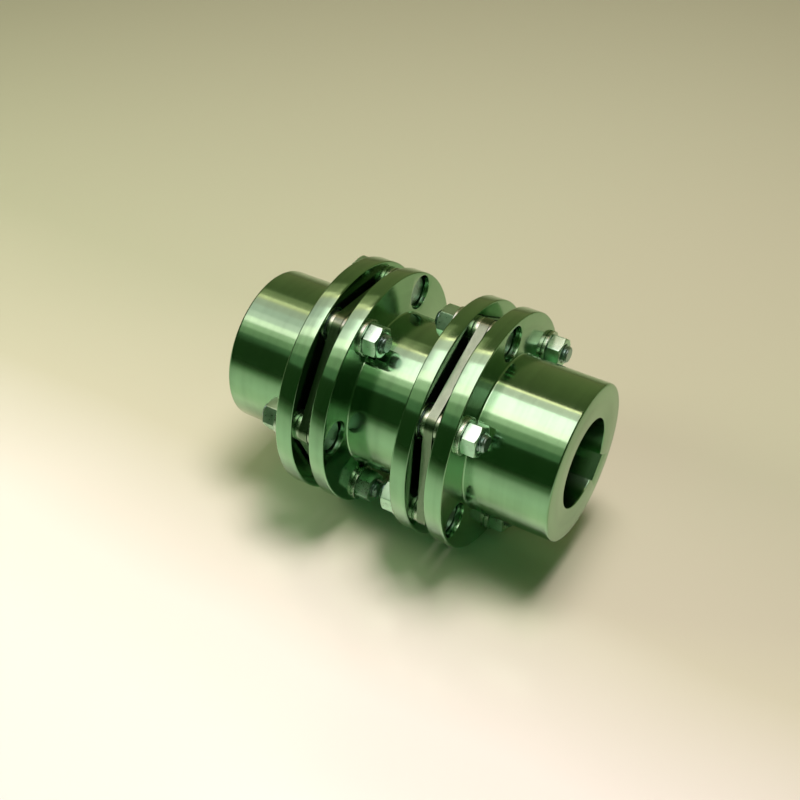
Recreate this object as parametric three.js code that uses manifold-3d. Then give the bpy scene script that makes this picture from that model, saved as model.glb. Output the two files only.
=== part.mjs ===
// Flexible disc coupling with a spacer: two keyed hubs, a flanged spacer tube and two laminated
// disc packs, each bolted alternately to the hub and to the spacer. Millimetres, +Z up, shaft
// axis along X, origin at the middle of the spacer.
import * as THREE from 'three';
import { mergeVertices } from 'three/addons/utils/BufferGeometryUtils.js';
import Module from 'manifold-3d';

const wasm = await Module();
wasm.setup();

// ---------- driving dimensions ----------
const FLANGE_R = 80;        // all four flanges
const HUB_R = 52.5;         // hub bosses
const BORE_R = 30;          // shaft bore
const KEY_WIDTH = 18;       // keyway in each hub bore
const KEY_DEPTH = 4.4;
const KEY_ANGLE = 316;      // degrees from +Y towards +Z
const TUBE_R = 53;          // spacer tube, outside
const TUBE_BORE_R = 44;     // spacer tube, inside

const SPACER_IN = 24;       // stations along X, mirrored on the left side
const SPACER_OUT = 35;      // face of the spacer flange towards the disc pack
const HUB_IN = 48;          // face of the hub flange towards the disc pack
const HUB_OUT = 60;         // outer face of the hub flange
const HUB_END = 117.5;      // end of the boss
const EDGE = 1;             // chamfer on flange rims and boss ends
const FILLET = 1.2;         // between boss and flange, and between tube and flange

const PACK_CENTRE = (SPACER_OUT + HUB_IN) / 2;
const PACK_THICK = 6;       // whole laminated pack, split into two half stacks
const PACK_BORE_R = 45;
const PACK_TAB_R = 10.5;    // rounding of the six-sided pack about each bolt

const BOLT_CIRCLE_R = 66.5;
const LEFT_PHASE = 54;      // angle of the first hub bolt on each side
const RIGHT_PHASE = 24;
const BOLT_R = 6;           // M12
const BOLT_HOLE_R = 6.5;
const CLEAR_HOLE_R = 11.7;  // hole in the opposite flange that a bolt head sits in
const HEX_AF = 19;          // across flats, heads and nuts
const HEAD_HIGH = 7.5;
const NUT_HIGH = 10;
const NUT_BORE_R = 6.25;
const THREAD_PROUD = 3.5;   // bolt end beyond its nut
const WASHER_R = 12;
const WASHER_THICK = 2.5;
const COLLAR_R = 10;        // bushing collars on both faces of the pack
const BARREL_R = 7.5;       // bushing barrel inside the pack
const BARREL_GAP = 0.3;

// How far each bolt head is turned about its own axis, in degrees. A nut is turned twice as far
// and NUT_TURN more.
const TURNS = {
  left: { hub: [23, 25, 27], spacer: [12, 23, 34] },
  right: { hub: [35, 38, 41], spacer: [26, 37, 48] },
};
const NUT_TURN = 10;

const ROUND = 60;           // segments round the big turned faces
const SMALL = 12;           // segments round bolts and bushings
const HOLE = 16;            // segments round the flange holes

// ---------- geometry helpers ----------
const RAD = Math.PI / 180;

function signedVolume(geometry) {
  const p = geometry.attributes.position;
  const ix = geometry.index.array;
  const a = new THREE.Vector3();
  const b = new THREE.Vector3();
  const c = new THREE.Vector3();
  let sum = 0;
  for (let i = 0; i < ix.length; i += 3) {
    a.fromBufferAttribute(p, ix[i]);
    b.fromBufferAttribute(p, ix[i + 1]);
    c.fromBufferAttribute(p, ix[i + 2]);
    sum += a.dot(b.cross(c)) / 6;
  }
  return sum;
}

// A manifold solid from a three.js geometry, turned to face out.
function solid(geometry) {
  const bare = geometry.clone();
  bare.deleteAttribute('normal');
  bare.deleteAttribute('uv');
  const merged = mergeVertices(bare, 1e-4);
  const flip = signedVolume(merged) < 0;
  const source = merged.index.array;
  const tris = [];
  for (let i = 0; i < source.length; i += 3) {
    const [a, b, c] = [source[i], source[i + 1], source[i + 2]];
    if (a === b || b === c || a === c) continue;
    tris.push(a, flip ? c : b, flip ? b : c);
  }
  return new wasm.Manifold(new wasm.Mesh({
    numProp: 3,
    vertProperties: new Float32Array(merged.attributes.position.array),
    triVerts: new Uint32Array(tris),
  }));
}

// A body of revolution about X from a closed loop of [x, r] points.
function turned(loop, segments) {
  const points = loop.map(([x, r]) => new THREE.Vector2(r, x));
  if (loop[0][1] > 0) points.push(points[0].clone());
  const geometry = new THREE.LatheGeometry(points, segments);
  geometry.rotateZ(-Math.PI / 2);
  return solid(geometry);
}

// A round bar along X, at an angle on the bolt circle.
function bar(radius, x0, x1, angle, segments = HOLE, circle = BOLT_CIRCLE_R) {
  const geometry = new THREE.CylinderGeometry(radius, radius, Math.abs(x1 - x0), segments);
  geometry.rotateZ(-Math.PI / 2);
  geometry.translate((x0 + x1) / 2, circle * Math.cos(angle * RAD), circle * Math.sin(angle * RAD));
  return solid(geometry);
}

// A hexagonal bar with the corners of its ends turned off; low and high say which ends. twist is
// the angle of a corner, from +Y towards +Z.
function hexBar(x0, x1, twist, low = true, high = true) {
  const [a, b] = [Math.min(x0, x1), Math.max(x0, x1)];
  const corner = HEX_AF / 2 / Math.cos(Math.PI / 6);
  const geometry = new THREE.CylinderGeometry(corner, corner, b - a, 6);
  geometry.rotateY((twist - 90) * RAD);
  geometry.rotateZ(-Math.PI / 2);
  geometry.translate((a + b) / 2, 0, 0);
  const face = (HEX_AF / 2) * 0.97;
  const wide = corner + 0.5;
  const drop = (wide - face) * Math.tan(30 * RAD);
  const loop = [
    [a, 0],
    ...(low ? [[a, face], [a + drop, wide]] : [[a, wide]]),
    ...(high ? [[b - drop, wide], [b, face]] : [[b, wide]]),
    [b, 0],
  ];
  return solid(geometry).intersect(turned(loop, 24));
}

// Points of a quarter-round fillet between a boss of radius r and a flange face at x,
// going from the boss to the flange; side is +1 when the boss lies on the +X side of the face.
function filletPoints(x, r, side) {
  const points = [];
  for (let k = 0; k <= 2; k++) {
    const t = (k / 2) * Math.PI / 2;
    points.push([x + side * FILLET * (1 - Math.sin(t)), r + FILLET * (1 - Math.cos(t))]);
  }
  return points;
}

function boltAngles(phase) {
  return [0, 120, 240].map((step) => phase + step);
}

// ---------- pieces, drawn for the right side ----------
function hub(phase) {
  const loop = [
    [HUB_IN, BORE_R + EDGE],
    [HUB_IN, FLANGE_R - EDGE],
    [HUB_IN + EDGE, FLANGE_R],
    [HUB_OUT - EDGE, FLANGE_R],
    [HUB_OUT, FLANGE_R - EDGE],
    ...filletPoints(HUB_OUT, HUB_R, 1).reverse(),
    [HUB_END - EDGE, HUB_R],
    [HUB_END, HUB_R - EDGE],
    [HUB_END, BORE_R + EDGE],
    [HUB_END - EDGE, BORE_R],
    [HUB_IN + EDGE, BORE_R],
  ];
  let body = turned(loop, ROUND);
  for (const angle of boltAngles(phase)) {
    body = body.subtract(bar(BOLT_HOLE_R, HUB_IN - 1, HUB_OUT + 1, angle, SMALL));
    body = body.subtract(bar(CLEAR_HOLE_R, HUB_IN - 1, HUB_OUT + 1, angle + 60));
  }
  const key = new THREE.BoxGeometry(HUB_END - HUB_IN + 2, BORE_R + KEY_DEPTH, KEY_WIDTH);
  key.translate((HUB_IN + HUB_END) / 2, (BORE_R + KEY_DEPTH) / 2, 0);
  key.rotateX(KEY_ANGLE * RAD);
  return body.subtract(solid(key));
}

// The tube of the spacer, between the two flange necks.
function spacerTube() {
  const end = SPACER_IN - FILLET;
  return turned([
    [-end, TUBE_BORE_R],
    [-end, TUBE_R],
    [end, TUBE_R],
    [end, TUBE_BORE_R],
  ], ROUND);
}

// One flange of the spacer, with the short filleted neck that meets the tube.
function spacerFlange(phase) {
  let body = turned([
    [SPACER_OUT, TUBE_BORE_R + EDGE],
    [SPACER_OUT, FLANGE_R - EDGE],
    [SPACER_OUT - EDGE, FLANGE_R],
    [SPACER_IN + EDGE, FLANGE_R],
    [SPACER_IN, FLANGE_R - EDGE],
    ...filletPoints(SPACER_IN, TUBE_R, -1).reverse(),
    [SPACER_IN - FILLET, TUBE_BORE_R],
    [SPACER_OUT - EDGE, TUBE_BORE_R],
  ], ROUND);
  for (const angle of boltAngles(phase)) {
    body = body.subtract(bar(CLEAR_HOLE_R, SPACER_IN - 1, SPACER_OUT + 1, angle));
    body = body.subtract(bar(BOLT_HOLE_R, SPACER_IN - 1, SPACER_OUT + 1, angle + 60, SMALL));
  }
  return body;
}

// Half of a laminated pack: a six-sided ring with straight sides, rounded about each bolt.
function halfPack(phase, x0, x1) {
  const shape = new THREE.Shape();
  const steps = 4;
  for (let k = 0; k < 6; k++) {
    const bolt = phase + 60 * k;
    for (let j = 0; j <= steps; j++) {
      const out = bolt - 30 + (60 * j) / steps;
      const y = BOLT_CIRCLE_R * Math.cos(bolt * RAD) + PACK_TAB_R * Math.cos(out * RAD);
      const z = BOLT_CIRCLE_R * Math.sin(bolt * RAD) + PACK_TAB_R * Math.sin(out * RAD);
      if (k === 0 && j === 0) shape.moveTo(y, z);
      else shape.lineTo(y, z);
    }
  }
  shape.closePath();
  const geometry = new THREE.ExtrudeGeometry(shape, { depth: x1 - x0, bevelEnabled: false });
  geometry.applyMatrix4(new THREE.Matrix4().set(0, 0, 1, x0, 1, 0, 0, 0, 0, 1, 0, 0, 0, 0, 0, 1));
  let body = solid(geometry);
  body = body.subtract(bar(PACK_BORE_R, x0 - 1, x1 + 1, 0, 36, 0));
  for (let k = 0; k < 6; k++) {
    body = body.subtract(bar(BARREL_R + BARREL_GAP, x0 - 1, x1 + 1, phase + 60 * k, SMALL));
  }
  return body;
}

// One fastener set about the X axis. base is the face of the fixed flange that the nut's washer
// sits on; away is +1 when the nut lies on the +X side.
function fastener(base, far, away, twist) {
  const washerTop = base + away * WASHER_THICK;
  const nutTop = washerTop + away * NUT_HIGH;
  const end = nutTop + away * THREAD_PROUD;
  const headTop = far - away * HEAD_HIGH;
  const tip = end - away * EDGE;
  const root = far - away;
  const shank = turned([[root, 0], [root, BOLT_R], [tip, BOLT_R], [end, BOLT_R - EDGE], [end, 0]], SMALL);
  const nutBore = bar(NUT_BORE_R, washerTop - away, nutTop + away, 0, SMALL, 0);
  return {
    bolt: hexBar(headTop, far, away * twist, away > 0, away < 0).add(shank),
    nut: hexBar(washerTop, nutTop, away * (twist * 2 + NUT_TURN)).subtract(nutBore),
    washer: turned([
      [base, NUT_BORE_R],
      [base, WASHER_R],
      [washerTop, WASHER_R],
      [washerTop, NUT_BORE_R],
    ], SMALL),
  };
}

function bushing() {
  const c = PACK_CENTRE;
  const h = PACK_THICK / 2;
  return turned([
    [SPACER_OUT, NUT_BORE_R],
    [SPACER_OUT, COLLAR_R],
    [c - h, COLLAR_R],
    [c - h, BARREL_R],
    [c + h, BARREL_R],
    [c + h, COLLAR_R],
    [HUB_IN, COLLAR_R],
    [HUB_IN, NUT_BORE_R],
  ], SMALL);
}

// ---------- assembly ----------
const group = new THREE.Group();
group.name = 'disc_coupling';

const COLOURS = {
  steel: 0xb9bdb2,
  pack: 0x9aa096,
  bolt: 0x8f948c,
  nut: 0xc4c8bd,
};

function place(name, body, colour, side = 1, angle = null) {
  const mesh = body.getMesh();
  const geometry = new THREE.BufferGeometry();
  geometry.setAttribute('position', new THREE.BufferAttribute(new Float32Array(mesh.vertProperties), 3));
  geometry.setIndex(Array.from(mesh.triVerts));
  if (side < 0) {
    geometry.scale(-1, 1, 1);
    const ix = geometry.index.array;
    for (let i = 0; i < ix.length; i += 3) [ix[i + 1], ix[i + 2]] = [ix[i + 2], ix[i + 1]];
  }
  if (angle !== null) {
    const y = BOLT_CIRCLE_R * Math.cos(angle * RAD);
    const z = BOLT_CIRCLE_R * Math.sin(angle * RAD);
    geometry.translate(0, y, z);
  }
  const flat = geometry.toNonIndexed();
  flat.computeVertexNormals();
  const material = new THREE.MeshStandardMaterial({ color: colour, metalness: 0.9, roughness: 0.35 });
  const piece = new THREE.Mesh(flat, material);
  piece.name = name;
  group.add(piece);
}

place('spacer_tube', spacerTube(), COLOURS.steel);

for (const [name, side, phase] of [['left', -1, LEFT_PHASE], ['right', 1, RIGHT_PHASE]]) {
  place(`${name}_spacer_flange`, spacerFlange(phase), COLOURS.steel, side);
  place(`${name}_hub`, hub(phase), COLOURS.steel, side);
  const near = PACK_CENTRE - PACK_THICK / 2;
  const far = PACK_CENTRE + PACK_THICK / 2;
  place(`${name}_discs_inner`, halfPack(phase, near, PACK_CENTRE), COLOURS.pack, side);
  place(`${name}_discs_outer`, halfPack(phase, PACK_CENTRE, far), COLOURS.pack, side);
  boltAngles(phase).forEach((angle, k) => {
    for (const [owner, at, set] of [
      ['hub', angle, fastener(HUB_OUT, SPACER_OUT, 1, TURNS[name].hub[k])],
      ['spacer', angle + 60, fastener(SPACER_IN, HUB_IN, -1, TURNS[name].spacer[k])],
    ]) {
      const label = `${name}_${owner}`;
      place(`${label}_bolt_${k + 1}`, set.bolt, COLOURS.bolt, side, at);
      place(`${label}_nut_${k + 1}`, set.nut, COLOURS.nut, side, at);
      place(`${label}_washer_${k + 1}`, set.washer, COLOURS.steel, side, at);
      place(`${label}_bushing_${k + 1}`, bushing(), COLOURS.pack, side, at);
    }
  });
}

export default group;
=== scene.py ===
"""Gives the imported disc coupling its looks: turned, hexagonal and laminated pieces on the CAD frame."""

import math

import bmesh
import bpy
from mathutils import Matrix, Vector


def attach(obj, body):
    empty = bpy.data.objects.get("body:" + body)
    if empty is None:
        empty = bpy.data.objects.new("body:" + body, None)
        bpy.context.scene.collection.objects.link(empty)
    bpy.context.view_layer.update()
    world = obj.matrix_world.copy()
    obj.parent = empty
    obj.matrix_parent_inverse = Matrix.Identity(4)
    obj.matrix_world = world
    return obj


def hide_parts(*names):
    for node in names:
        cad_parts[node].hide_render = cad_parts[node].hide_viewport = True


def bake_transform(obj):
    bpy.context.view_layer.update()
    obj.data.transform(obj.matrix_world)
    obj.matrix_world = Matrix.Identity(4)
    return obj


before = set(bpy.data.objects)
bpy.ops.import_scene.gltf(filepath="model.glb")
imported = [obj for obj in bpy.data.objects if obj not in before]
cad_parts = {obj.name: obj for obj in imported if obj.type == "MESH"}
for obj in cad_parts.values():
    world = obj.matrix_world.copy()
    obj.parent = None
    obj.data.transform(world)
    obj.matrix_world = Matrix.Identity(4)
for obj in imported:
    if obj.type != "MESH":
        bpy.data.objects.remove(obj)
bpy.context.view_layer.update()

# ---------- driving dimensions, in metres: the CAD frame's, a few of them trimmed by up to 0.1 mm ----------
MM = 0.001
FLANGE_R = 80 * MM
HUB_R = 52.5 * MM
BORE_R = 30 * MM
KEY_WIDTH = 18 * MM
KEY_DEPTH = 4.4 * MM
KEY_ANGLE = 316
TUBE_R = 53 * MM
TUBE_BORE_R = 44 * MM
SPACER_IN = 24 * MM
SPACER_OUT = 35 * MM
HUB_IN = 48 * MM
HUB_OUT = 60 * MM
HUB_END = 117.5 * MM
FILLET = 1.2 * MM
FILLET_MIDDLE = 0.3 * FILLET    # from the sharp corner to the middle of the rounding, along X and radius

# Rounded edges, where the CAD has chamfers or none
ROUND_EDGE = 1.2 * MM
BOSS_EDGE = 1.8 * MM
BORE_EDGE = 0.7 * MM
JOINT_EDGE = 0.15 * MM
HOLE_EDGE = 0.35 * MM
NUT_EDGE = 0.18 * MM
WASHER_EDGE = 0.35 * MM
COLLAR_EDGE = 0.5 * MM
OVERCUT = 3 * MM                # how far a cutter reaches past the faces that it cuts

PACK_CENTRE = (SPACER_OUT + HUB_IN) / 2
PACK_THICK = 6 * MM
PACK_BORE_R = 45 * MM
PACK_TAB_R = 10.45 * MM
LAMINATIONS = 10
GROOVE = 0.22 * MM
GROOVE_SHARE = 0.16             # half a groove's width, as a share of a sheet's thickness

# Degrees along one link of a pack: the whole link from bolt to bolt, the stiff stretch beside a bolt,
# the end of the first of its three portions, and how far inside a portion its bend starts and ends
LINK = 60
HOLD = 10.5
THIRD = 23
BEND_GAP = 1.5

# Points of the pack's edge: steps round a bolt, and degrees from it along the straight side
TAB_STEPS = 8
STRAIGHT_ANGLES = range(5, 31, 2)

BOLT_CIRCLE_R = 66.5 * MM
PHASES = {"left": 54, "right": 24}
SIDES = {"left": -1, "right": 1}
BOLT_R = 6 * MM
BOLT_HOLE_R = 6.5 * MM
CLEAR_HOLE_R = 11.7 * MM
HEX_HALF = 9.5 * MM             # half the width across flats
HEX_FLAT_R = 0.97 * HEX_HALF    # where the chamfer of the corners starts
HEX_CHAMFER = 30                # the chamfer's slope in degrees
HEAD_HIGH = 7.5 * MM
SEAT_HIGH = 0.4 * MM            # the round seat under a bolt head
SEAT_R = 0.95 * HEX_HALF
NUT_HIGH = 10 * MM
NUT_SINK = 0.8 * MM
NUT_BORE_R = 6.15 * MM
THREAD_START = 5 * MM           # from the flange, inside the nut
THREAD_PROUD = 3.5 * MM
THREAD_PITCH = 1.75 * MM
THREAD_DEPTH = 0.75 * MM
THREAD_FLANK = 1.25             # 1 for a sharp root, more for a wider one
THREAD_STEPS = 10               # rings for each turn of the thread
THREAD_TIP = 1.2 * MM
WASHER_R = 11.95 * MM
WASHER_THICK = 2.5 * MM
COLLAR_R = 9.95 * MM
BARREL_R = 7.5 * MM
BARREL_GAP = 0.3 * MM
NUT_TOP = WASHER_THICK + NUT_HIGH
BOLT_END = NUT_TOP + THREAD_PROUD

# How far each bolt head is turned, in degrees; a nut is turned twice as far and NUT_TURN more
TURNS = {
    "left": {"hub": (23, 25, 27), "spacer": (12, 23, 34)},
    "right": {"hub": (35, 38, 41), "spacer": (26, 37, 48)},
}
NUT_TURN = 10

# Segments round the big turned faces, the barrels, the small pieces and the drilled holes
ROUND = 192
SMALL = 48
FINE = 2 * SMALL
HOLE = 72

# Steel of each kind of piece: tint and roughness
TURNED_STEEL = ((0.22, 0.43, 0.23), 0.14)
DISC_STEEL = ((0.21, 0.32, 0.19), 0.2)
SMALL_STEELS = {
    "bolt": ((0.26, 0.42, 0.34), 0.30),
    "nut": ((0.40, 0.68, 0.46), 0.3),
    "washer": ((0.42, 0.58, 0.42), 0.26),
    "bushing": ((0.36, 0.50, 0.34), 0.24),
}
# Painted shade in the keyway: its colour, and how strongly it darkens the steel
KEYWAY_SHADE_TINT = (0.1, 0.12, 0.1)
KEYWAY_SHADE_WEIGHT = 0.75

# Scales of the noise on the steels and on the table top, in repeats per metre
LINE_SCALE = 1500
BAND_SCALE = 160
STAIN_SCALE = 22
MOTTLE_SCALE = 240
HANDLING_SCALE = 90
GRAIN_SCALE = 900
SHEET_SCALE = 60
SHEET_GRAIN = (2600, 12, 12)
TABLE_PATCH_SCALE = 3.0
TABLE_GRAIN_SCALE = 300

# Painted light and shade on the table top, which the metal mirrors: a lit middle band, painted shade towards
# the back and far in front; place within its reach in Y, and colour
PAINTED_LIGHT_REACH = (-0.60, 0.40)
PAINTED_LIGHT_TONES = [
    (0.05, (0.34, 0.36, 0.26)),
    (0.30, (0.86, 0.72, 0.70)),
    (0.47, (0.86, 0.72, 0.70)),
    (0.59, (0.61, 0.52, 0.41)),
    (0.76, (0.50, 0.45, 0.33)),
]

# Camera and floor
CAMERA_AZIMUTH = 30.9
CAMERA_ELEVATION = 40.8
CAMERA_DISTANCE = 0.8234
CAMERA_SIDESTEP = -0.01364
CAMERA_LENS = 56.45
CAMERA_SENSOR = 36
FLOOR_Z = -FLANGE_R
FLOOR_HALF = 6

# Lights that only fill: name, place, size, power, colour and spread in degrees
FILLS = [
    ("table_light", (0.10, 0.16, 1.40), (0.55, 0.55), 28, (1.0, 0.91, 0.95), 180),
    ("green_fill", (-0.3, -1.2, 0.25), (1.0, 0.5), 0.45, (0.12, 1.0, 0.40), 40),
    ("left_fill", (-1.0, -0.35, 0.55), (0.35, 0.35), 6, (0.80, 1.0, 0.66), 180),
]

# Surroundings: deep green in front of the object, brown behind it
ROOM = [(0, (0.020, 0.054, 0.014)), (0.5, (0.07, 0.09, 0.04)), (1, (0.29, 0.255, 0.12))]

# Ceiling panels in rows, with the reach in X of each row's three stretches. Each row has its name,
# its reach in Y, its colour, and the radiance of its right, middle and left stretch
CEILING = 1.2
STRETCHES = {"right": (-0.495, 0.80), "middle": (-0.585, -0.495), "left": (-1.60, -0.585)}
PANELS = [
    ("back_strip", (0.60, 0.80), (1.0, 0.70, 0.50), (0, 0.55, 0.4)),
    ("orange_strip", (0.46, 0.60), (1.0, 0.66, 0.50), (0, 1.2, 0.5)),
    ("near_strip", (0.37, 0.46), (1.0, 0.62, 0.50), (0, 1.5, 2.3)),
    ("yellow_strip", (0.30, 0.37), (1.0, 0.58, 0.50), (4.6, 1.8, 1.6)),
    ("grey_panel", (0.05, 0.30), (1.0, 0.64, 0.78), (1.8, 1.6, 1.1)),
    ("rear_main", (-0.20, 0.05), (1.0, 0.69, 0.86), (4.0, 2.1, 1.3)),
    ("middle_main", (-0.42, -0.20), (1.0, 0.68, 0.84), (4.0, 3.6, 1.8)),
    ("front_main", (-0.64, -0.42), (1.0, 0.68, 0.76), (4.1, 4.2, 3.0)),
    ("first_fade", (-0.90, -0.64), (1.0, 0.84, 0.74), (1.15, 1.2, 1.1)),
    ("second_fade", (-1.30, -0.90), (0.95, 0.95, 0.70), (0.46, 0.50, 0.50)),
    ("third_fade", (-1.85, -1.30), (0.75, 1.0, 0.65), (0.19, 0.12, 0.22)),
]


# ---------- mesh helpers ----------
def new_object(name, mesh):
    """Links a new object with this mesh to the scene."""
    obj = bpy.data.objects.new(name, mesh)
    bpy.context.scene.collection.objects.link(obj)
    return obj


def mesh_from_rings(name, rings, loop=True):
    """A closed skin over rings with equal numbers of points. loop joins the last ring to the first."""
    bm = bmesh.new()
    rows = []
    for ring in rings:
        rows.append([bm.verts.new(p) for p in ring])
    count = len(rows[0])
    pairs = list(zip(rows, rows[1:]))
    if loop:
        pairs.append((rows[-1], rows[0]))
    for low, high in pairs:
        for k in range(count):
            n = (k + 1) % count
            bm.faces.new((low[k], low[n], high[n], high[k]))
    if not loop:
        bm.faces.new(rows[0][::-1])
        bm.faces.new(rows[-1])
    bmesh.ops.recalc_face_normals(bm, faces=bm.faces)
    mesh = bpy.data.meshes.new(name)
    bm.to_mesh(mesh)
    bm.free()
    return mesh


def circle(x, radius, segments, centre=(0, 0)):
    """A ring about the X axis. radius is a number or a function of the angle."""
    points = []
    for k in range(segments):
        t = 2 * math.pi * k / segments
        r = radius(t) if callable(radius) else radius
        points.append((x, centre[0] + r * math.cos(t), centre[1] + r * math.sin(t)))
    return points


def rounded(corner, before, after, radius, steps=4):
    """Points that round one corner of an [x, r] profile."""
    c = Vector(corner)
    a = (Vector(before) - c).normalized()
    b = (Vector(after) - c).normalized()
    reach = radius / math.tan(a.angle(b) / 2)
    start = c + a * reach
    end = c + b * reach
    points = []
    for k in range(steps + 1):
        s = k / steps
        points.append(tuple(start * (1 - s) ** 2 + c * 2 * s * (1 - s) + end * s ** 2))
    return points


def rounded_loop(loop, radii):
    """Rounds each corner of a closed profile by its own radius; 0 keeps it sharp."""
    points = []
    for k, corner in enumerate(loop):
        if radii[k] <= 0:
            points.append(tuple(corner))
            continue
        before = loop[k - 1]
        after = loop[(k + 1) % len(loop)]
        points.extend(rounded(corner, before, after, radii[k]))
    return points


def turned(name, loop, segments):
    """A body of revolution about the X axis from a closed [x, r] profile."""
    rings = [circle(x, r, segments) for x, r in loop]
    return new_object(name, mesh_from_rings(name, rings))


def bolt_point(angle, radius=BOLT_CIRCLE_R):
    """Y and Z of a point on the bolt circle; angles run from +Y towards +Z."""
    t = math.radians(angle)
    return radius * math.cos(t), radius * math.sin(t)


def cutter_bar(x0, x1, radius, angle, segments=HOLE):
    """A round bar along X on the bolt circle, for drilling."""
    centre = bolt_point(angle)
    rings = [circle(x0, radius, segments, centre), circle(x1, radius, segments, centre)]
    return new_object("cutter", mesh_from_rings("cutter", rings, loop=False))


def cut(obj, cutters):
    """Subtracts the cutters in one boolean and removes them."""
    group = bpy.data.collections.new("cutters")
    for c in cutters:
        group.objects.link(c)
    step = obj.modifiers.new("cut", "BOOLEAN")
    step.operation = "DIFFERENCE"
    step.operand_type = "COLLECTION"
    step.collection = group
    step.solver = "EXACT"
    apply_all(obj)
    for c in cutters:
        bpy.data.objects.remove(c)
    bpy.data.collections.remove(group)


def apply_all(obj):
    """Turns the object's modifiers into plain mesh."""
    bpy.context.view_layer.update()
    graph = bpy.context.evaluated_depsgraph_get()
    mesh = bpy.data.meshes.new_from_object(obj.evaluated_get(graph))
    obj.modifiers.clear()
    old = obj.data
    obj.data = mesh
    bpy.data.meshes.remove(old)


def soften(obj, width, angle=40):
    """A small even bevel on the edges sharper than angle degrees."""
    step = obj.modifiers.new("bevel", "BEVEL")
    step.width = width
    step.segments = 2
    step.limit_method = "ANGLE"
    step.angle_limit = math.radians(angle)
    step.harden_normals = False
    apply_all(obj)


def shade(obj, angle=30):
    """Smooth shading with sharp edges where faces meet at more than angle degrees."""
    obj.data.shade_smooth()
    obj.data.set_sharp_from_angle(angle=math.radians(angle))


def mirror_x(obj):
    """Makes a left piece of one that was drawn for the right side."""
    obj.data.transform(Matrix.Diagonal((-1, 1, 1, 1)))
    obj.data.flip_normals()


def paint(obj, material):
    """Gives a piece its one material."""
    obj.data.materials.clear()
    obj.data.materials.append(material)


def dress(obj, material, slot, body, *nodes):
    """Gives a finished piece its material and its body, and hides what it stands for; slot is not used."""
    paint(obj, material)
    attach(obj, body)
    if nodes:
        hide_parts(*nodes)


# ---------- material helpers ----------
class Nodes:
    """A short way to write the nodes of a material or of the world."""

    def __init__(self, owner):
        self.owner = owner
        owner.use_nodes = True
        self.tree = owner.node_tree
        self.shader = self.tree.nodes.get("Principled BSDF")

    def add(self, kind, **settings):
        """A new node; settings are input values or the node's own properties."""
        node = self.tree.nodes.new(kind)
        for key, value in settings.items():
            if key in node.inputs:
                node.inputs[key].default_value = value
            else:
                setattr(node, key, value)
        return node

    def link(self, source, target):
        """Joins an output to an input."""
        self.tree.links.new(source, target)

    def position(self):
        """The object's own coordinates, in metres."""
        return self.add("ShaderNodeTexCoord").outputs["Object"]

    def split(self, vector):
        """The X, Y and Z of a vector."""
        node = self.add("ShaderNodeSeparateXYZ")
        self.link(vector, node.inputs[0])
        return node.outputs

    def noise(self, vector, scale, detail=3.0, roughness=0.5):
        """A cloudy pattern between 0 and 1."""
        node = self.add("ShaderNodeTexNoise", Scale=scale, Detail=detail, Roughness=roughness)
        self.link(vector, node.inputs["Vector"])
        return node.outputs["Fac"]

    def math(self, operation, a, b=None):
        """A sum on outputs or plain numbers."""
        node = self.add("ShaderNodeMath", operation=operation)
        for k, value in enumerate((a, b)):
            if value is None:
                continue
            if isinstance(value, (int, float)):
                node.inputs[k].default_value = value
            else:
                self.link(value, node.inputs[k])
        return node.outputs[0]

    def spread(self, value, low, high, start=0.0, end=1.0):
        """Maps the range from start to end onto the one from low to high."""
        node = self.add("ShaderNodeMapRange")
        node.inputs["From Min"].default_value = start
        node.inputs["From Max"].default_value = end
        node.inputs["To Min"].default_value = low
        node.inputs["To Max"].default_value = high
        self.link(value, node.inputs["Value"])
        return node.outputs["Result"]

    def ramp(self, value, stops):
        """Colours along a value, from stops of place and colour."""
        node = self.add("ShaderNodeValToRGB")
        elements = node.color_ramp.elements
        while len(elements) < len(stops):
            elements.new(0.5)
        for element, (at, colour) in zip(elements, stops):
            element.position = at
            element.color = (*colour, 1)
        self.link(value, node.inputs["Fac"])
        return node.outputs["Color"]

    def bump(self, height, strength, distance):
        """Lets the shader's surface rise and fall with a pattern."""
        node = self.add("ShaderNodeBump", Strength=strength, Distance=distance)
        self.link(height, node.inputs["Height"])
        self.link(node.outputs["Normal"], self.shader.inputs["Normal"])


def new_nodes(name):
    """The nodes of a new material."""
    return Nodes(bpy.data.materials.new(name))


def make_metal(n):
    """Makes the shader a metal's and gives back the material."""
    n.shader.inputs["Metallic"].default_value = 1.0
    return n.owner


def lathe_vector(n):
    """Coordinates of axis and radius only, so a noise on them gives turning lines."""
    place = n.split(n.position())
    y2 = n.math("MULTIPLY", place["Y"], place["Y"])
    z2 = n.math("MULTIPLY", place["Z"], place["Z"])
    radius = n.math("SQRT", n.math("ADD", y2, z2))
    joined = n.add("ShaderNodeCombineXYZ")
    n.link(place["X"], joined.inputs["X"])
    n.link(radius, joined.inputs["Y"])
    return joined.outputs[0]


def keyway_painted_shade(n, lathe, bright):
    """Painted shade: darkens the broached keyway, which lies just outside the bore and does not face along
    the axis, so that the recess looks shaded.
    """
    radius = n.split(lathe)["Y"]
    facing = n.split(n.add("ShaderNodeNewGeometry").outputs["Normal"])["X"]
    beyond_bore = n.math("GREATER_THAN", radius, BORE_R + 0.3 * MM)
    within_key = n.math("LESS_THAN", radius, BORE_R + KEY_DEPTH + 2 * MM)
    not_end = n.math("LESS_THAN", n.math("ABSOLUTE", facing), 0.5)
    keyway_shade_mask = n.math("MULTIPLY", n.math("MULTIPLY", beyond_bore, within_key), not_end)
    mix = n.add("ShaderNodeMix", data_type="RGBA", blend_type="MULTIPLY")
    n.link(n.math("MULTIPLY", keyway_shade_mask, KEYWAY_SHADE_WEIGHT), mix.inputs[0])
    n.link(bright, mix.inputs[6])
    mix.inputs[7].default_value = (*KEYWAY_SHADE_TINT, 1)
    return mix.outputs[2]


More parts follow.
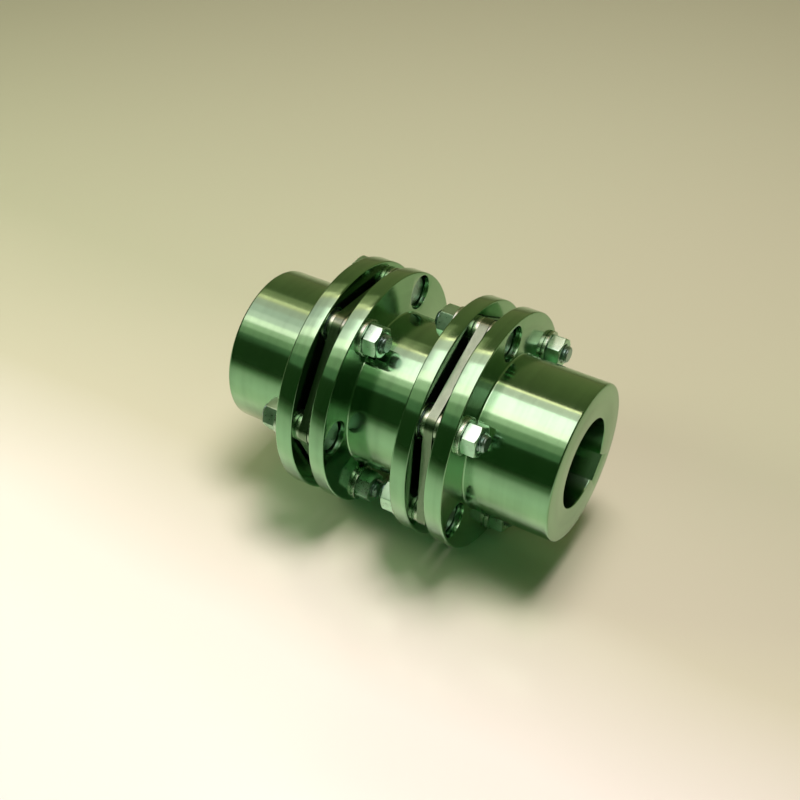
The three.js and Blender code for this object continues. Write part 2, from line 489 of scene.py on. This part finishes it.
def turned_steel(name, tint, rough):
    """Bright turned steel: fine turning lines, broader bands, faint stains, mottled wear and painted shade
    in the keyway.
    """
    n = new_nodes(name)
    lathe = lathe_vector(n)
    lines = n.noise(lathe, LINE_SCALE, 4.0, 0.6)
    bands = n.noise(lathe, BAND_SCALE, 2.0)
    cloud = n.noise(n.position(), STAIN_SCALE, 4.0, 0.6)
    mottled = n.noise(n.position(), MOTTLE_SCALE, 5.0, 0.65)
    mix = n.math("ADD", n.math("MULTIPLY", cloud, 0.6), n.math("MULTIPLY", bands, 0.4))
    dark = tuple(c * 0.78 for c in tint)
    light = tuple(min(1, c * 1.12) for c in tint)
    bright = n.ramp(mix, [(0.3, dark), (0.5, tint), (0.72, light)])
    # the base colour gets painted shade in the keyway
    n.link(keyway_painted_shade(n, lathe, bright), n.shader.inputs["Base Color"])
    wear = n.math("ADD", n.math("MULTIPLY", lines, 0.5), n.math("MULTIPLY", mottled, 0.5))
    n.link(n.spread(wear, rough * 0.75, rough * 1.35, 0.3, 0.7), n.shader.inputs["Roughness"])
    n.bump(lines, 0.12, 0.00004)
    n.shader.inputs["Anisotropic"].default_value = 0.7
    n.shader.inputs["Anisotropic Rotation"].default_value = 0.25
    tangent = n.add("ShaderNodeTangent", direction_type="RADIAL", axis="X")
    n.link(tangent.outputs[0], n.shader.inputs["Tangent"])
    return make_metal(n)


def small_steel(name, tint, rough):
    """Steel of small parts: fine grain and the darker marks of handling."""
    n = new_nodes(name)
    cloud = n.noise(n.position(), HANDLING_SCALE, 4.0, 0.6)
    fine = n.noise(n.position(), GRAIN_SCALE, 4.0, 0.6)
    dark = tuple(c * 0.75 for c in tint)
    light = tuple(min(1, c * 1.15) for c in tint)
    n.link(n.ramp(cloud, [(0.3, dark), (0.55, tint), (0.75, light)]), n.shader.inputs["Base Color"])
    wear = n.math("ADD", n.math("MULTIPLY", cloud, 0.5), n.math("MULTIPLY", fine, 0.5))
    n.link(n.spread(wear, rough * 0.7, rough * 1.4, 0.3, 0.7), n.shader.inputs["Roughness"])
    n.bump(fine, 0.15, 0.00005)
    return make_metal(n)


def disc_steel(name, tint, rough):
    """Rolled spring steel of the laminations, with a grain that changes from sheet to sheet."""
    n = new_nodes(name)
    stretch = n.add("ShaderNodeMapping", Scale=SHEET_GRAIN)
    n.link(n.position(), stretch.inputs["Vector"])
    grain = n.noise(stretch.outputs[0], 1.0, 2.0, 0.5)
    cloud = n.noise(n.position(), SHEET_SCALE, 3.0, 0.6)
    dark = tuple(c * 0.8 for c in tint)
    n.link(n.ramp(cloud, [(0.3, dark), (0.65, tint)]), n.shader.inputs["Base Color"])
    n.link(n.spread(grain, rough * 0.75, rough * 1.3, 0.3, 0.7), n.shader.inputs["Roughness"])
    n.bump(grain, 0.06, 0.00003)
    return make_metal(n)


def floor_coat_and_painted_light():
    """A pale polished table top that mirrors faintly, with painted light in a middle band and painted shade
    towards the back and far in front.
    """
    n = new_nodes("floor_coat_and_painted_light")
    slow = n.noise(n.position(), TABLE_PATCH_SCALE, 2.0, 0.5)
    depth = n.math("ADD", n.split(n.position())["Y"], n.math("MULTIPLY", slow, 0.06))
    # painted light and shade along Y, standing in for how the light falls on the table
    n.link(n.ramp(n.spread(depth, 0, 1, *PAINTED_LIGHT_REACH), PAINTED_LIGHT_TONES), n.shader.inputs["Base Color"])
    fine = n.noise(n.position(), TABLE_GRAIN_SCALE, 3.0, 0.6)
    n.link(n.spread(fine, 0.32, 0.42), n.shader.inputs["Roughness"])
    n.bump(fine, 0.03, 0.0002)
    n.shader.inputs["Coat Weight"].default_value = 1.0
    n.shader.inputs["Coat IOR"].default_value = 1.9
    n.shader.inputs["Coat Roughness"].default_value = 0.2
    n.shader.inputs["Coat Tint"].default_value = (0.94, 1.0, 0.96, 1)
    return n.owner


# ---------- pieces ----------
def hub_profile():
    """Boss, flange and bore of the right hub as an [x, r] loop."""
    loop = [
        (HUB_IN, BORE_R),
        (HUB_IN, FLANGE_R),
        (HUB_OUT, FLANGE_R),
        (HUB_OUT, HUB_R),
        (HUB_END, HUB_R),
        (HUB_END, BORE_R),
    ]
    e = ROUND_EDGE
    return rounded_loop(loop, [e, e, e, FILLET, BOSS_EDGE, BORE_EDGE])


def hole_cutters(side, x0, x1, at_hub_bolts, between):
    """Bars for six holes: three of one radius at the hub's bolts and three of another between them."""
    cutters = []
    for k in range(3):
        angle = PHASES[side] + 120 * k
        cutters.append(cutter_bar(x0 - OVERCUT, x1 + OVERCUT, at_hub_bolts, angle))
        cutters.append(cutter_bar(x0 - OVERCUT, x1 + OVERCUT, between, angle + 60))
    return cutters


def drilled(obj, side, cutters):
    """Cuts a turned piece, bevels the cut edges and turns it over for the left side."""
    cut(obj, cutters)
    soften(obj, HOLE_EDGE)
    if SIDES[side] < 0:
        mirror_x(obj)
    shade(obj)
    return obj


def make_hub(side):
    """A hub with its bolt holes, the clearance holes for the other bolts' heads, and the keyway."""
    obj = turned(f"{side}_hub_turned", hub_profile(), ROUND)
    cutters = hole_cutters(side, HUB_IN, HUB_OUT, BOLT_HOLE_R, CLEAR_HOLE_R)
    cutters.append(key_cutter())
    return drilled(obj, side, cutters)


def key_cutter():
    """A bar from the axis outwards that cuts the keyway along the whole bore."""
    bm = bmesh.new()
    bmesh.ops.create_cube(bm, size=1)
    length = HUB_END - HUB_IN + 2 * OVERCUT
    depth = BORE_R + KEY_DEPTH
    bmesh.ops.scale(bm, vec=(length, depth, KEY_WIDTH), verts=bm.verts)
    bmesh.ops.translate(bm, vec=((HUB_IN + HUB_END) / 2, depth / 2, 0), verts=bm.verts)
    turn = Matrix.Rotation(math.radians(KEY_ANGLE), 3, "X")
    bmesh.ops.rotate(bm, cent=(0, 0, 0), matrix=turn, verts=bm.verts)
    mesh = bpy.data.meshes.new("cutter")
    bm.to_mesh(mesh)
    bm.free()
    return new_object("cutter", mesh)


def make_spacer_tube():
    """The plain tube between the two flange necks."""
    end = SPACER_IN - FILLET
    loop = [(-end, TUBE_BORE_R), (-end, TUBE_R), (end, TUBE_R), (end, TUBE_BORE_R)]
    obj = turned("spacer_tube_turned", rounded_loop(loop, [0, JOINT_EDGE, JOINT_EDGE, 0]), ROUND)
    shade(obj)
    return obj


def make_spacer_flange(side):
    """A flange with the short filleted neck that meets the tube."""
    neck = SPACER_IN - FILLET
    loop = [
        (SPACER_OUT, TUBE_BORE_R),
        (SPACER_OUT, FLANGE_R),
        (SPACER_IN, FLANGE_R),
        (SPACER_IN, TUBE_R + FILLET),
        (SPACER_IN - FILLET_MIDDLE, TUBE_R + FILLET_MIDDLE),
        (neck, TUBE_R),
        (neck, TUBE_BORE_R),
    ]
    e = ROUND_EDGE
    profile = rounded_loop(loop, [e, e, e, 0, 0, JOINT_EDGE, 0])
    obj = turned(f"{side}_spacer_flange_turned", profile, ROUND)
    return drilled(obj, side, hole_cutters(side, SPACER_IN, SPACER_OUT, CLEAR_HOLE_R, BOLT_HOLE_R))


def hex_radius(half, twist):
    """Radius of a hexagon as a function of the angle; half is half its width across flats."""
    def at(t):
        sector = math.radians(60)
        local = (t - math.radians(twist)) % sector - sector / 2
        return half / math.cos(local)
    return at


def hex_rings(x0, x1, twist, chamfer_low, chamfer_high):
    """Rings of a hexagonal bar. A chamfer of 1 turns the corners of that end off by a shallow cone."""
    at = hex_radius(HEX_HALF, twist)
    slope = math.tan(math.radians(HEX_CHAMFER))

    def ring(x, radius, drop):
        points = []
        for k in range(FINE):
            t = 2 * math.pi * k / FINE
            r = radius(t) if callable(radius) else radius
            lower = drop * max(0, r - HEX_FLAT_R) * slope
            points.append((x + lower, r * math.cos(t), r * math.sin(t)))
        return points

    return [
        ring(x0, HEX_FLAT_R, 0),
        ring(x0, at, chamfer_low),
        ring(x1, at, -chamfer_high),
        ring(x1, HEX_FLAT_R, 0),
    ]


def hex_corner_twist(twist):
    """Lines a corner up with a ring point, so that the corners stay sharp."""
    step = 360 / FINE
    return round(twist / step) * step


def make_nut(name, twist):
    """Hexagon nut with chamfered corners and a countersunk bore, standing on its washer."""
    x0, x1 = WASHER_THICK, NUT_TOP
    inner = [
        circle(x1, NUT_BORE_R + NUT_SINK, FINE),
        circle(x1 - NUT_SINK, NUT_BORE_R, FINE),
        circle(x0 + NUT_SINK, NUT_BORE_R, FINE),
        circle(x0, NUT_BORE_R + NUT_SINK, FINE),
    ]
    rings = hex_rings(x0, x1, hex_corner_twist(twist), 1, 1) + inner
    obj = new_object(name, mesh_from_rings(name, rings))
    soften(obj, NUT_EDGE, angle=22)
    shade(obj, 25)
    return obj


def thread_rings(x0, x1):
    """A true helical thread on the end of a bolt, with a turned-off tip."""
    rings = []
    steps = round((x1 - x0) / THREAD_PITCH * THREAD_STEPS)
    for k in range(steps + 1):
        x = x0 + (x1 - x0) * k / steps
        fade = min(1, (x - x0) / THREAD_PITCH)
        tip_r = BOLT_R - max(0, x - (x1 - THREAD_TIP))
        ring = []
        for j in range(FINE):
            t = 2 * math.pi * j / FINE
            phase = (x / THREAD_PITCH - j / FINE) % 1
            vee = 1 - abs(phase * 2 - 1)
            r = min(tip_r, BOLT_R - THREAD_DEPTH * min(1, THREAD_FLANK * vee) * fade)
            ring.append((x, r * math.cos(t), r * math.sin(t)))
        rings.append(ring)
    return rings


def make_bolt(name, grip, twist):
    """Hex head, plain shank and threaded end. The washer stands at x = 0, the head's seat at -grip."""
    rings = hex_rings(-grip - HEAD_HIGH, -grip - SEAT_HIGH, hex_corner_twist(twist), 1, 0)[:3]
    for x, r in ((-grip - SEAT_HIGH, SEAT_R), (-grip, SEAT_R), (-grip, BOLT_R), (0, BOLT_R)):
        rings.append(circle(x, r, FINE))
    rings.extend(thread_rings(THREAD_START, BOLT_END))
    obj = new_object(name, mesh_from_rings(name, rings, loop=False))
    shade(obj, 25)
    return obj


def make_washer(name):
    """Flat washer with slightly rounded edges."""
    loop = [(0, NUT_BORE_R), (0, WASHER_R), (WASHER_THICK, WASHER_R), (WASHER_THICK, NUT_BORE_R)]
    e = WASHER_EDGE
    obj = turned(name, rounded_loop(loop, [0, e, e, e]), FINE)
    shade(obj, 32)
    return obj


def make_bushing(name):
    """Swaged bushing: a barrel through the pack with a collar on each face."""
    low = PACK_CENTRE - PACK_THICK / 2
    high = PACK_CENTRE + PACK_THICK / 2
    loop = [
        (SPACER_OUT, NUT_BORE_R),
        (SPACER_OUT, COLLAR_R),
        (low, COLLAR_R),
        (low, BARREL_R),
        (high, BARREL_R),
        (high, COLLAR_R),
        (HUB_IN, COLLAR_R),
        (HUB_IN, NUT_BORE_R),
    ]
    e = COLLAR_EDGE
    obj = turned(name, rounded_loop(loop, [0, e, e, 0, 0, e, e, 0]), FINE)
    shade(obj, 32)
    return obj


def tab_point(out):
    """Radius and angle of the pack's edge where its outline faces out degrees away from a bolt."""
    t = math.radians(out)
    along = BOLT_CIRCLE_R + PACK_TAB_R * math.cos(t)
    across = PACK_TAB_R * math.sin(t)
    return math.hypot(along, across), math.degrees(math.atan2(across, along))


def link_edge():
    """Angle and radius of points along the pack's edge from one bolt to the next."""
    half = LINK / 2
    points = []
    for k in range(TAB_STEPS + 1):
        r, angle = tab_point(half * k / TAB_STEPS)
        points.append((angle, r))
    side = BOLT_CIRCLE_R * math.cos(math.radians(half)) + PACK_TAB_R
    for angle in STRAIGHT_ANGLES:
        points.append((angle, side / math.cos(math.radians(half - angle))))
    return points + [(LINK - angle, r) for angle, r in reversed(points)]


def lamination_profile(inner, outer):
    """Points round the pack's section, with a fine groove between laminations on both edges."""
    step = PACK_THICK / LAMINATIONS
    x0 = PACK_CENTRE - PACK_THICK / 2
    nick = step * GROOVE_SHARE
    outside = []
    for k in range(LAMINATIONS):
        a = x0 + step * k
        if k:
            outside.append((a, outer - GROOVE))
        outside.append((a + nick, outer))
        outside.append((a + step - nick, outer))
    outside = [(x0, outer)] + outside[1:-1] + [(x0 + PACK_THICK, outer)]
    inside = [(x, inner + outer - r) for x, r in reversed(outside)]
    return outside + inside


def pack_portion(name, side, link, start, end):
    """One stretch of a link of the laminated ring, between two angles from the link's first bolt."""
    sign = SIDES[side]
    base = PHASES[side] + LINK * link
    rings = []
    for step, radius in link_edge():
        if not start <= step <= end:
            continue
        t = math.radians(base + step)
        profile = lamination_profile(PACK_BORE_R, radius)
        rings.append([(sign * x, r * math.cos(t), r * math.sin(t)) for x, r in profile])
    obj = new_object(name, mesh_from_rings(name, rings, loop=False))
    cutters = []
    for angle in (start, end):
        if angle % LINK == 0:
            x0, x1 = sorted((sign * (SPACER_OUT - MM), sign * (HUB_IN + MM)))
            cutters.append(cutter_bar(x0, x1, BARREL_R + BARREL_GAP, base + angle, SMALL))
    if cutters:
        cut(obj, cutters)
    shade(obj)
    return obj


def make_pack(side, material):
    """Six links, each built in three portions on its way from a hub bolt to a spacer bolt or back."""
    nodes = [f"{side}_discs_inner", f"{side}_discs_outer"]
    # start and end of each portion, then of its bend
    spans = [
        (0, THIRD, HOLD, THIRD - BEND_GAP),
        (THIRD, LINK - THIRD, THIRD + BEND_GAP, LINK - THIRD - BEND_GAP),
        (LINK - THIRD, LINK, LINK - THIRD + BEND_GAP, LINK - HOLD),
    ]
    portion = 0
    for link in range(6):
        for part, (start, end, *bend) in enumerate(spans):
            portion += 1
            obj = pack_portion(f"{side}_pack_portion_{portion}", side, link, start, end)
            paint(obj, material)
            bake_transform(obj)
            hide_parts(*nodes)


def place_on_bolt(obj, side, angle):
    """Moves a piece that was drawn about the X axis to its bolt, turned over on the left side."""
    if SIDES[side] < 0:
        mirror_x(obj)
    y, z = bolt_point(angle)
    obj.data.transform(Matrix.Translation((0, y, z)))


def make_fasteners(side, owner, angle, number, finishes):
    """Bolt, nut, washer and bushing of one hole. A spacer bolt points inwards, a hub bolt outwards."""
    label = f"{side}_{owner}"
    if owner == "hub":
        base, seat, away = HUB_OUT, SPACER_OUT, 1
    else:
        base, seat, away = SPACER_IN, HUB_IN, -1
    twist = TURNS[side][owner][number - 1]
    # everything is drawn with the nut towards +X, then turned round where it points to -X
    bolt = make_bolt(f"{label}_bolt_{number}_fine", abs(base - seat), twist)
    nut = make_nut(f"{label}_nut_{number}_fine", twist * 2 + NUT_TURN)
    washer = make_washer(f"{label}_washer_{number}_fine")
    for obj in (bolt, nut, washer):
        if away < 0:
            obj.data.transform(Matrix.Rotation(math.pi, 4, "Y"))
        obj.data.transform(Matrix.Translation((base, 0, 0)))
    bushing = make_bushing(f"{label}_bushing_{number}_fine")
    body = f"{side}_hub" if owner == "hub" else "spacer"
    for obj, kind in ((bolt, "bolt"), (nut, "nut"), (washer, "washer"), (bushing, "bushing")):
        place_on_bolt(obj, side, angle)
        dress(obj, finishes[kind], f"{kind}_steel", body, f"{label}_{kind}_{number}")


# ---------- scene ----------
def area_light(name, at, target, size, power, colour):
    """A rectangular light that the camera doesn't see."""
    data = bpy.data.lights.new(name, "AREA")
    data.shape = "RECTANGLE"
    data.size, data.size_y = size
    data.energy = power
    data.color = colour
    obj = bpy.data.objects.new(name, data)
    bpy.context.scene.collection.objects.link(obj)
    obj.location = at
    direction = Vector(target) - Vector(at)
    obj.rotation_euler = direction.to_track_quat("-Z", "Y").to_euler()
    obj.visible_camera = False
    return obj


def overhead_panel(name, x_span, y_span, radiance, colour):
    """A level panel over the object that shows only as a reflection in the metal."""
    centre = (sum(x_span) / 2, sum(y_span) / 2, CEILING)
    size = (x_span[1] - x_span[0], y_span[1] - y_span[0])
    power = radiance * size[0] * size[1] * math.pi
    panel = area_light(name, centre, (centre[0], centre[1], 0), size, power, colour)
    panel.visible_diffuse = False


def add_lights():
    """Soft panels in rows from behind the object to over the camera, and three lights that only fill."""
    for name, y_span, colour, radiances in PANELS:
        for (stretch, x_span), radiance in zip(STRETCHES.items(), radiances):
            if radiance:
                overhead_panel(f"{name}_{stretch}", x_span, y_span, radiance, colour)
    for name, at, size, power, colour, spread in FILLS:
        light = area_light(name, at, (0, 0, FLOOR_Z), size, power, colour)
        light.data.spread = math.radians(spread)
        light.visible_glossy = False


def add_room():
    """Dim surroundings that change tone from the front to the back."""
    world = bpy.data.worlds.new("room")
    bpy.context.scene.world = world
    n = Nodes(world)
    depth = n.split(n.add("ShaderNodeTexCoord").outputs["Generated"])["Y"]
    colour = n.ramp(n.spread(depth, 0, 1, -1, 1), ROOM)
    n.link(colour, n.tree.nodes["Background"].inputs["Color"])
    n.tree.nodes["Background"].inputs["Strength"].default_value = 1.0


def add_floor():
    """The table top under the flanges."""
    bm = bmesh.new()
    bmesh.ops.create_grid(bm, x_segments=8, y_segments=8, size=FLOOR_HALF)
    mesh = bpy.data.meshes.new("floor")
    bm.to_mesh(mesh)
    bm.free()
    floor = new_object("floor", mesh)
    floor.location.z = FLOOR_Z
    mesh.materials.append(floor_coat_and_painted_light())


def add_camera():
    """The photograph's view: from the right front, looking down, with a slight step to the left."""
    az = math.radians(CAMERA_AZIMUTH)
    el = math.radians(CAMERA_ELEVATION)
    towards = Vector((math.sin(az) * math.cos(el), -math.cos(az) * math.cos(el), math.sin(el)))
    right = Vector((math.cos(az), math.sin(az), 0))
    data = bpy.data.cameras.new("camera")
    data.lens = CAMERA_LENS
    data.sensor_width = CAMERA_SENSOR
    camera = bpy.data.objects.new("camera", data)
    bpy.context.scene.collection.objects.link(camera)
    camera.location = towards * CAMERA_DISTANCE + right * CAMERA_SIDESTEP
    camera.rotation_euler = (-towards).to_track_quat("-Z", "Y").to_euler()
    bpy.context.scene.camera = camera
    bpy.context.scene.view_settings.view_transform = "Standard"


def main():
    """Builds every piece, then the table top, the lights and the camera."""
    steel = turned_steel("turned_steel", *TURNED_STEEL)
    discs = disc_steel("disc_steel", *DISC_STEEL)
    finishes = {}
    for kind, (tint, rough) in SMALL_STEELS.items():
        finishes[kind] = small_steel(f"{kind}_steel", tint, rough)
    dress(make_spacer_tube(), steel, "turned_steel", "spacer", "spacer_tube")
    for side in SIDES:
        dress(make_spacer_flange(side), steel, "turned_steel", "spacer", f"{side}_spacer_flange")
        dress(make_hub(side), steel, "turned_steel", f"{side}_hub", f"{side}_hub")
        make_pack(side, discs)
        for k in range(3):
            angle = PHASES[side] + 120 * k
            make_fasteners(side, "hub", angle, k + 1, finishes)
            make_fasteners(side, "spacer", angle + 60, k + 1, finishes)
    add_floor()
    add_lights()
    add_room()
    add_camera()


main()
